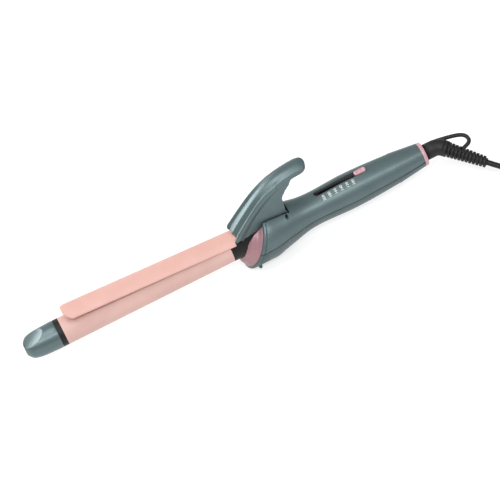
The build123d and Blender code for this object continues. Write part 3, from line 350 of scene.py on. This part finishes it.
def seam_dust_and_shade(tree, place, colour):
    """The colour with a painted dark line along the seam: the shade and dust that the seam's
    groove holds.
    """
    height = add_node(tree, "ShaderNodeSeparateXYZ", {0: place}).outputs["Z"]
    above = add_node(tree, "ShaderNodeMath", {0: height, 1: seam_z}, operation="SUBTRACT")
    away = add_node(tree, "ShaderNodeMath", {0: above.outputs[0]}, operation="ABSOLUTE")
    clean = add_node(tree, "ShaderNodeMapRange",
                     {"Value": away.outputs[0], "From Min": seam_half * 0.5,
                      "From Max": seam_half, "To Min": seam_dark, "To Max": 0.0})
    mix = add_node(tree, "ShaderNodeMix", {0: clean.outputs["Result"], 6: colour,
                                           7: linear("#15191a")}, data_type="RGBA")
    return mix.outputs[2]


# The pearl pigment gives both shells a metallic satin. The lower shell's darker tint is painted
# shade for its downward face.
upper_abs = moulded("pearl_abs_upper_shell", pearl_tint, pearl_shade, 0.42, 0.5 * MM, 0.02 * MM,
                    metallic=0.45, coat=0.08, seam=seam_dust_and_shade)
lower_abs_painted_shade = moulded("pearl_abs_lower_shell_painted_shade", "#4e5e60", "#4a595b", 0.42, 0.5 * MM, 0.02 * MM,
                    metallic=0.4, coat=0.08, seam=seam_dust_and_shade)
skin("handle_upper", "iron", upper_abs, slot="handle_plastic")
skin("handle_lower", "iron", lower_abs_painted_shade, slot="handle_plastic")

# Zinc plate has a clear cool shine. The pin's near-black tint is painted shade for the hole it
# sits in, with a dark shine.
bright_zinc = bare_metal("zinc_plated_steel", "#a9abad", 0.32, along=(8, 8, 8))
wear("shell_screws", bright_zinc)
wear("hinge_pin", bare_metal("dark_pin_painted_shade", "#2a2a2c", 0.4, along=(30, 1, 30)))

# ---- Lever and clip ----------------------------------------------------------------------
# The lever is the handle's ABS, with a crowned thumb pad and a cheek on each side. The clip
# is sheet steel pressed to the barrel's curve, in the barrel's coat, and riveted to the lever.
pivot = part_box("hinge_pin")[0].lerp(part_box("hinge_pin")[1], 0.5)

# The pad's ridge line seen from the side, in mm: how far behind and above the pivot it runs,
# and half the pad's width there.
spine = [(-43.4, 3.6, 10.0), (-38.2, 9.0, 9.6), (-32.8, 13.6, 9.2), (-27.3, 18.5, 8.8),
         (-21.6, 22.9, 8.4), (-14.7, 27.9, 8.1), (-7.4, 32.1, 7.8), (-1.8, 34.6, 7.6),
         (4.0, 36.6, 7.5), (15.0, 38.7, 7.3), (30.0, 39.4, 7.2)]
pad_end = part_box("thumb_lever")[1].x
pad_round, pad_middle, pad_keep = 7.25 * MM, 3.2 * MM, 0.30
pad_face = 0.4 * MM

# Flutes and ridges: how far out of the half width they lie, how wide and how deep they are,
# how far below the ridge line they end, and where along the lever they fade.
flute_at, flute_width, flute_depth = 0.57, 0.34, 1.8 * MM
ridge_at, ridge_width, ridge_height = 0.89, 0.25, 1.3 * MM
top_from, top_to = 4.0 * MM, 6.5 * MM
fade_end, fade_length = 14.0 * MM, 40.0 * MM

# The cheeks are tucked in below the pad's edge, and their rear corner is faired into the pad.
cheek_share = 0.6
tuck_from, tuck_to, tuck_depth = 4.0 * MM, 7.0 * MM, 1.1 * MM
fair_from, fair_to, fair_under = 7.0 * MM, 14.0 * MM, 6.3 * MM


def held(share):
    """The share, held between nothing and one."""
    return max(0.0, min(share, 1.0))


def eased(share):
    """The share held between nothing and one, with a smooth start and end."""
    share = held(share)
    return share * share * (3 - 2 * share)


def moulded_pad(point):
    """Where a point of the lever goes when its flutes, ridges and round end are pressed in."""
    place = point - pivot
    flat_place = Vector((place.x, 0, place.z))
    best = None
    for (x0, z0, half0), (x1, z1, half1) in zip(spine, spine[1:]):
        start = Vector((x0, 0, z0)) * MM
        run = Vector((x1 - x0, 0, z1 - z0)) * MM
        share = held((flat_place - start).dot(run) / run.length_squared)
        away = flat_place - start - run * share
        if best is None or away.length < best[0]:
            best = (away.length, (half0 + (half1 - half0) * share) * MM,
                    Vector((-run.z, 0, run.x)).normalized(), start.x + run.x * share)
    depth, half, lift, along = best
    near_top = held((top_to - depth) / (top_to - top_from))
    side = abs(place.y) / half
    fade = eased((fade_end - along) / fade_length)
    flute = flute_depth * hump(side, flute_at, flute_width) * fade
    ridge = ridge_height * hump(side, ridge_at, ridge_width) * fade
    moved = point + lift * (ridge - flute) * near_top
    if abs(place.y) > cheek_share * half:
        under = held((depth - tuck_from) / (tuck_to - tuck_from))
        moved.y -= (tuck_depth if place.y > 0 else -tuck_depth) * under * fade
    fair = eased((along - fair_from) / (fair_to - fair_from))
    moved += lift * max(0.0, depth - fair_under) * fair
    past = (point.x - (pad_end - pad_round)) / pad_round
    if past > 0:
        keep = pad_keep + (1 - pad_keep) * (1 - min(past, 1.0) ** 2) ** 0.5
        middle = pivot.z + spine[-1][1] * MM - pad_middle
        moved.z = middle + (moved.z - middle) * keep
    return moved


# The lever's mould is polished further than the shells', so its highlights are narrower.
pearl_plastic = moulded("pearl_grey_green_abs", pearl_tint, pearl_shade, 0.36, 0.5 * MM,
                        0.02 * MM, metallic=0.45, coat=0.08)
settle(evened(joined("thumb_lever"), pad_face, moulded_pad), "thumb_lever_skin", "clip",
       pearl_plastic, "lever_plastic", "thumb_lever")

# The clip's coat is the barrel's, on thin steel. The spring's drawn wire is bright.
clip_coat = fired_coat("pale_rose_ceramic_coat", "#cca096", "#c89b91")
skin("clip_spoon", "clip", clip_coat, slot="clip_coat")
wear("clip_rivets", bright_zinc)
wear("clip_spring", bare_metal("spring_wire", "#9a9c9e", 0.3, along=(8, 8, 8)))

# ---- Heat control ------------------------------------------------------------------------
# A black bezel lets a pink knob slide over a small linear resistor. The numbers beside it are
# printed in white ink, turned so that they read across the handle.
bezel = skin("slot_bezel", "iron", black_pps, slot="black_plastic")
slot_low, slot_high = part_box("slot_bezel")
bezel_rim, facing_up = 1.0 * MM, 0.6
slot_half = slot_high.y - bezel_rim

# The bezel's flat rim takes the handle's colour, so that only the slot itself is black.
bezel.data.materials.append(pearl_plastic)
for face in bezel.data.polygons:
    middle_x = max(slot_low.x + slot_high.y, min(face.center.x, slot_high.x - slot_high.y))
    off_middle = hypot(face.center.x - middle_x, face.center.y)
    if face.normal.z > facing_up and off_middle > slot_half:
        face.material_index = 1

# Satin pink, with a thin clear highlight along its edges.
pink_abs = moulded("dusty_pink_abs", "#c398a0", "#bd9199", 0.36, 0.6 * MM, 0.015 * MM,
                   coat=0.1)
skin("heat_slider", "slider", pink_abs, slot="pink_plastic")

# Pad-printed ink is matt, dense and nearly white.
mark_finish, mark_tree, mark_place = start_finish("white_pad_ink")
close_finish(mark_tree, Base_Color=mottled(mark_tree, mark_place, "#f1f3f2", "#e6e9e8", 2 * MM),
             Roughness=0.5)
handle_mesh = bmesh.new()
handle_mesh.from_mesh(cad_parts["handle_upper"].data)
handle_surface = BVHTree.FromBMesh(handle_mesh)
handle_mesh.free()
mark_words = ("200", "180", "160", "140", "120", "100")
mark_height, ink_height, ray_start_z = 2.9 * MM, 0.05 * MM, 60 * MM
mark_first_x = slot_low.x + 6.6 * MM
mark_last_x = slot_high.x - 14.6 * MM
mark_y = slot_low.y - 0.6 * MM
marks = bmesh.new()
for count, words in enumerate(mark_words):
    text = bpy.data.curves.new("heat_mark", "FONT")
    text.body = words
    text.size = mark_height
    text.align_x = "RIGHT"
    text.align_y = "CENTER"
    flat = plain_mesh(in_scene("heat_mark", text))
    x = mark_first_x + (mark_last_x - mark_first_x) * count / (len(mark_words) - 1)
    flat.transform(Matrix.Translation((x, mark_y, 0)) @ Matrix.Rotation(pi / 2, 4, "Z"))
    marks.from_mesh(flat)
bmesh.ops.subdivide_edges(marks, edges=marks.edges, cuts=1)
for vertex in marks.verts:
    above = Vector((vertex.co.x, vertex.co.y, ray_start_z))
    hit = handle_surface.ray_cast(above, Vector((0, 0, -1)))[0]
    vertex.co.z = hit.z + ink_height
mark_mesh = bpy.data.meshes.new("heat_marks")
marks.to_mesh(mark_mesh)
marks.free()
settle(mark_mesh, "heat_marks", "iron", mark_finish)

# ---- Electronics -------------------------------------------------------------------------
# A small glass-epoxy board carries the mains parts and the resistor. Sleeved leads run to the
# heater, one through a thermal fuse, and a glass bead senses the heat.

# Phenolic is dull, the board's mask glossy, cast epoxy satin, braided glass matt and soft, the
# fuse's tinned can bright, and the sensor's bead a smooth amber.
wear("slide_resistor", moulded("black_phenolic", "#232428", "#1d1e21", 0.55, 0.3 * MM,
                               0.02 * MM))
wear("circuit_board", moulded("green_glass_epoxy", "#2f6a44", "#2a6140", 0.35, 0.8 * MM,
                              0.01 * MM))
wear("board_components", moulded("blue_epoxy_cases", "#2b3f6b", "#263961", 0.4, 0.3 * MM,
                                 0.01 * MM))
wear("heater_leads", moulded("glass_braid_sleeve", "#d9d4c8", "#cdc8bb", 0.7, 0.4 * MM,
                             0.08 * MM))
wear("thermal_fuse", bare_metal("fuse_can", "#c2c4c6", 0.3))
wear("heat_sensor", moulded("amber_glass_bead", "#c8742c", "#b96a28", 0.15, 0.5 * MM,
                            0.005 * MM))

# ---- Swivel ------------------------------------------------------------------------------
# The spool turns in the handle's end wall with two brass rings that brushes press on, so the
# cord never twists. The pink ring trims the end.

# Unfilled nylon is milky and waxy, and turned brass a warm yellow with fine rings.
natural_nylon = moulded("natural_nylon", "#e4e2da", "#dcd9cf", 0.45, 0.4 * MM, 0.02 * MM)
ring_brass = bare_metal("turned_brass", "#c9a45c", 0.28, along=(60, 1, 1))
wear("brush_block", natural_nylon)
wear("brush_contacts", ring_brass)
skin("swivel_spool", "cord_end", natural_nylon, slot="block_plastic")
wear("slip_rings", ring_brass)
skin("end_ring", "iron", pink_abs, slot="pink_plastic")

# ---- Cord guard and hang loop ------------------------------------------------------------
# Both are soft PVC moulded over the cord. Slots cut from alternate sides let the tail bend.

# Soft PVC is matt, and its grain spreads the light.
soft_pvc = moulded("black_soft_pvc", "#1c1c1d", "#19191a", 0.55, 0.35 * MM, 0.03 * MM,
                   gloss=0.35)

# The guard leaves the end ring straight, then bends at its corner towards the table.
end_low, end_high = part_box("end_ring")
neck_length, bend, roll = 12.3 * MM, radians(49.5), radians(20.0)
guard_corner = Vector((end_high.x + neck_length, 0, (end_low.z + end_high.z) / 2))
outward = Vector((0, cos(roll), sin(roll)))
tail_dir = Vector((cos(bend), 0, 0)) - outward * sin(bend)
tail_side = Vector((sin(bend), 0, 0)) + outward * cos(bend)
plain_length, guard_length = 8.0 * MM, 40.5 * MM
core_r, core_narrows, core_sides = 3.6 * MM, 0.86, 32
rib_count, rib_pitch, rib_width, rib_depth = 11, 2.9 * MM, 1.6 * MM, 2.6 * MM
rib_sink, rib_taper, rib_arc, rib_steps = 0.2 * MM, 0.026, radians(196), 28
guard_frame = Matrix((tail_side.to_4d(), tail_dir.cross(tail_side).to_4d(),
                      tail_dir.to_4d(), (0, 0, 0, 1))).transposed()
guard_frame.translation = guard_corner + tail_dir * plain_length

# The smooth bend keeps the solid's shape up to the first rib, with a core for the ribs behind it.
guard = skin("cord_guard", "cord_end", soft_pvc, slot="guard_rubber")
neck = bmesh.new()
neck.from_mesh(guard.data)
cut = bmesh.ops.bisect_plane(neck, geom=neck.verts[:] + neck.edges[:] + neck.faces[:],
                             plane_co=guard_frame.translation, plane_no=tail_dir,
                             clear_outer=True)
bmesh.ops.contextual_create(neck, geom=[edge for edge in cut["geom_cut"]
                                        if isinstance(edge, bmesh.types.BMEdge)])
core_length = guard_length - plain_length
bmesh.ops.create_cone(neck, cap_ends=True, segments=core_sides, radius1=core_r,
                      radius2=core_r * core_narrows, depth=core_length,
                      matrix=guard_frame @ Matrix.Translation((0, 0, core_length / 2)))
neck.to_mesh(guard.data)
neck.free()

# Half ribs in two rows, one on each side, set half a step apart.
ribs_tree = bpy.data.node_groups.new("guard_ribs", "GeometryNodeTree")
sockets = {}
for name, kind in (("Count", "NodeSocketInt"), ("Pitch", "NodeSocketFloat"),
                   ("Radius", "NodeSocketFloat"), ("Depth", "NodeSocketFloat"),
                   ("Width", "NodeSocketFloat"), ("Taper", "NodeSocketFloat"),
                   ("Rubber", "NodeSocketMaterial")):
    sockets[name] = ribs_tree.interface.new_socket(name, in_out="INPUT",
                                                   socket_type=kind).identifier
ribs_tree.interface.new_socket("Ribs", in_out="OUTPUT", socket_type="NodeSocketGeometry")
given = add_node(ribs_tree, "NodeGroupInput").outputs
outline = add_node(ribs_tree, "GeometryNodeCurvePrimitiveQuadrilateral",
                   {"Width": given["Depth"], "Height": given["Width"]}).outputs["Curve"]
rows = []
for start, turn in ((0.0, 0.0), (0.5, pi)):
    arc = add_node(ribs_tree, "GeometryNodeCurveArc",
                   {"Resolution": rib_steps, "Radius": given["Radius"],
                    "Start Angle": turn - rib_arc / 2, "Sweep Angle": rib_arc})
    rib = add_node(ribs_tree, "GeometryNodeCurveToMesh",
                   {"Curve": arc.outputs["Curve"], "Profile Curve": outline,
                    "Fill Caps": True}).outputs["Mesh"]
    first = add_node(ribs_tree, "ShaderNodeMath", {0: given["Pitch"], 1: start},
                     operation="MULTIPLY").outputs[0]
    places = add_node(ribs_tree, "GeometryNodeMeshLine",
                      {"Count": given["Count"],
                       "Start Location": add_node(ribs_tree, "ShaderNodeCombineXYZ",
                                                  {"Z": first}).outputs[0],
                       "Offset": add_node(ribs_tree, "ShaderNodeCombineXYZ",
                                          {"Z": given["Pitch"]}).outputs[0]})
    count = add_node(ribs_tree, "GeometryNodeInputIndex").outputs[0]
    less = add_node(ribs_tree, "ShaderNodeMath", {0: count, 1: given["Taper"]},
                    operation="MULTIPLY").outputs[0]
    size = add_node(ribs_tree, "ShaderNodeMath", {0: 1.0, 1: less},
                    operation="SUBTRACT").outputs[0]
    scale = add_node(ribs_tree, "ShaderNodeCombineXYZ", {"X": size, "Y": size, "Z": 1.0})
    rows.append(add_node(ribs_tree, "GeometryNodeInstanceOnPoints",
                         {"Points": places.outputs["Mesh"], "Instance": rib,
                          "Scale": scale.outputs[0]}).outputs["Instances"])
both = add_node(ribs_tree, "GeometryNodeJoinGeometry")
for row in rows:
    ribs_tree.links.new(row, both.inputs[0])
real = add_node(ribs_tree, "GeometryNodeRealizeInstances", {0: both.outputs[0]})
dressed = add_node(ribs_tree, "GeometryNodeSetMaterial",
                   {"Geometry": real.outputs[0], "Material": given["Rubber"]})
add_node(ribs_tree, "NodeGroupOutput", {0: dressed.outputs[0]})

ribs_maker = in_scene("guard_ribs_maker", bpy.data.meshes.new("guard_ribs_maker"))
ribs_nodes = ribs_maker.modifiers.new("guard_ribs", "NODES")
ribs_nodes.node_group = ribs_tree
for name, value in (("Count", rib_count), ("Pitch", rib_pitch),
                    ("Radius", core_r - rib_sink + rib_depth / 2), ("Depth", rib_depth),
                    ("Width", rib_width), ("Taper", rib_taper), ("Rubber", soft_pvc)):
    ribs_nodes[sockets[name]] = value
ribs = plain_mesh(ribs_maker)
ribs.transform(guard_frame @ Matrix.Translation((0, 0, rib_width / 2)))
settle(ribs, "guard_ribs", "cord_end", soft_pvc, "guard_rubber")

# The loop's line from the guard's corner: how far along the tail and how far off it, in mm.
loop_places = [(-3.6, 3.4), (4.0, 9.6), (11.8, 15.4), (17.6, 16.3), (21.6, 13.0), (20.9, 9.0),
               (19.4, 6.2), (18.6, 3.0)]
hang_loop_r = 1.6 * MM
loop_path = bpy.data.curves.new("hang_loop_path", "CURVE")
loop_path.dimensions = "3D"
loop_path.bevel_depth = hang_loop_r
loop_path.bevel_resolution = 5
loop_path.resolution_u = 10
loop_path.use_fill_caps = True
loop_line = loop_path.splines.new("NURBS")
loop_line.points.add(len(loop_places) - 1)
for point, (along, away) in zip(loop_line.points, loop_places):
    point.co = (guard_corner + tail_dir * along * MM + tail_side * away * MM).to_4d()
loop_line.order_u = 4
loop_line.use_endpoint_u = True
settle(plain_mesh(in_scene("hang_loop_path", loop_path)), "hang_loop_skin",
       "cord_end", soft_pvc, "guard_rubber", "hang_loop")

# ---- Cord, plug and tie ------------------------------------------------------------------
# 1.8 m of two-core flex in black PVC. It comes down to the table and the rest is wound
# into a tied coil, eleven loops in all, with the flat plug beside it.
cord_r = 2.2 * MM

# The cord's points in mm, down to the coil and from the coil up to the plug.
down_to_coil = [(209.65, -28.94, 12.16), (218.09, -38.23, 8.78), (230.6, -48.6, 5.2),
                (242.6, -61.2, 3.2)]
up_to_plug = [(262.7, -68.6, 16.8), (278.5, -69.6, 14.2), (288.4, -66.0, 11.2),
              (296.1, -58.8, 8.5), (300.3, -49.2, 6.95), (300.3, -39.6, 6.95)]
coil_x, coil_y = 264.45, -35.4

# The coil's loops as radius and height in mm. Each place is a row of its own in a layer, and
# each change of layer comes a little before the place where the last loop steps aside.
reach, outer, middle, inner = 33.2, 29.0, 24.5, 20.0
loops = [(outer, 3.2), (middle, 3.2), (inner, 3.2), (inner, 7.7), (middle, 7.7), (outer, 7.7),
         (outer, 12.2), (middle, 12.2), (inner, 12.2), (inner, 16.7), (middle, 16.7),
         (outer, 16.7)]
early = (0, 0, 0, 1, 2, 2, 3, 4, 4, 5, 6, 6)

# In degrees: where the coil starts, the turn between points, of a step aside and in all.
coil_start, point_turn, step_turn, coil_turn = -111.8, 15, 60, 3978
coil_points = []
for turned in range(0, coil_turn, point_turn):
    r, z = reach, loops[0][1]
    for count, (loop_r, loop_z) in enumerate(loops):
        share = eased((turned - 360 * count + step_turn * early[count]) / step_turn)
        r += (loop_r - r) * share
        z += (loop_z - z) * share
    share = held(1 - (coil_turn - turned) / step_turn)
    r += (reach - r) * share * share
    angle = radians(coil_start + turned)
    coil_points.append((coil_x + r * cos(angle), coil_y + r * sin(angle), z))
cord_points = [[value * MM for value in point] + [1.0]
               for point in down_to_coil + coil_points + up_to_plug]
flex = bpy.data.curves.new("mains_cord", "CURVE")
flex.dimensions = "3D"
flex.bevel_depth = cord_r
flex.bevel_resolution = 4
flex.resolution_u = 6
flex.use_fill_caps = True
line = flex.splines.new("NURBS")
line.points.add(len(cord_points) - 1)
for point, place in zip(line.points, cord_points):
    point.co = place
line.order_u = 3
line.use_endpoint_u = True

# The flex's PVC is extruded, which leaves it smoother and shinier than the moulded guard.
flex_pvc = moulded("black_flex_pvc", "#18181a", "#161617", 0.42, 0.5 * MM, 0.01 * MM,
                   gloss=0.25)
flex.materials.append(flex_pvc)
cord = in_scene("mains_cord", flex)
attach(cord, "cord_end")
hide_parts("cord", "cord_tail", "cord_coil")

# The pins' nickel is a warm mirror, and the tie's nylon has a soft shine.
plug = skin("plug_body", "cord_end", soft_pvc, slot="guard_rubber")
nickel = bare_metal("nickel_plate", "#cfcdc4", 0.2)
pins = skin("plug_pins", "cord_end", nickel, slot="pin_plating")
tie_nylon = moulded("black_tie", "#242426", "#1f1f21", 0.45, 0.5 * MM, 0.02 * MM)
tie = skin("cord_tie", "cord_end", tie_nylon, slot="tie_plastic")

# ---- Table, light and camera -------------------------------------------------------------
# A pale light table, lit from inside so that shadows on it stay faint, and large soft lights. A
# long lens looks down on the iron from the side.
table_half, table_patch, table_glow = 3.0, 0.3, 0.66
table = bpy.data.meshes.new("table")
table.from_pydata([(x * table_half, y * table_half, 0)
                   for x, y in ((-1, -1), (1, -1), (1, 1), (-1, 1))], [], [(0, 1, 2, 3)])
table_finish, table_tree, table_place = start_finish("pale_table")
close_finish(table_tree, Roughness=0.9, Emission_Color=(1, 1, 1, 1), Emission_Strength=table_glow,
             Base_Color=mottled(table_tree, table_place, "#acacac", "#a9a9a9", table_patch))
table.materials.append(table_finish)
in_scene("table", table)

bpy.context.scene.view_settings.view_transform = "Standard"
world = bpy.data.worlds.new("studio")
bpy.context.scene.world = world
world.use_nodes = True
room = world.node_tree.nodes["Background"].inputs
room["Color"].default_value = (1, 1, 1, 1)
room["Strength"].default_value = 0.42

# Each light's name, place and size in metres, and power in watts.
lit_place = Vector((0, 0, 0.02))
for name, place, size, power in (("soft_key", (-0.35, -0.05, 1.2), (0.9, 0.9), 9.0),
                                 ("soft_band", (0.0, -0.75, 1.0), (1.5, 0.22), 10.0),
                                 ("soft_back", (-0.8, 0.85, 0.4), (0.9, 0.5), 10.0)):
    light = bpy.data.lights.new(name, "AREA")
    light.shape = "RECTANGLE"
    light.size, light.size_y = size
    light.energy = power
    lamp = in_scene(name, light)
    lamp.location = place
    lamp.rotation_euler = (lit_place - Vector(place)).to_track_quat("-Z", "Y").to_euler()

camera_turn, camera_rise, camera_roll = radians(-8.0), radians(45.43), radians(-20.89)
camera_distance, camera_field = 1.8, radians(12.15)

# The place that the lens looks at, and how far it then moves right and down for the framing.
aim = Vector((0.010, 0, 0.025))
move_right, move_down = 9.45 * MM, 4.62 * MM
away = Vector((sin(camera_turn) * cos(camera_rise), -cos(camera_turn) * cos(camera_rise),
               sin(camera_rise)))
level = (-away).cross(Vector((0, 0, 1))).normalized()
upright = level.cross(-away)
right = level * cos(camera_roll) + upright * sin(camera_roll)
up = upright * cos(camera_roll) - level * sin(camera_roll)
aim += right * move_right - up * move_down
lens = bpy.data.cameras.new("camera")
lens.angle = camera_field
lens.clip_end = 20
camera = in_scene("camera", lens)
camera.matrix_world = Matrix((
    (right.x, up.x, away.x, aim.x + away.x * camera_distance),
    (right.y, up.y, away.y, aim.y + away.y * camera_distance),
    (right.z, up.z, away.z, aim.z + away.z * camera_distance),
    (0, 0, 0, 1)))
bpy.context.scene.camera = camera
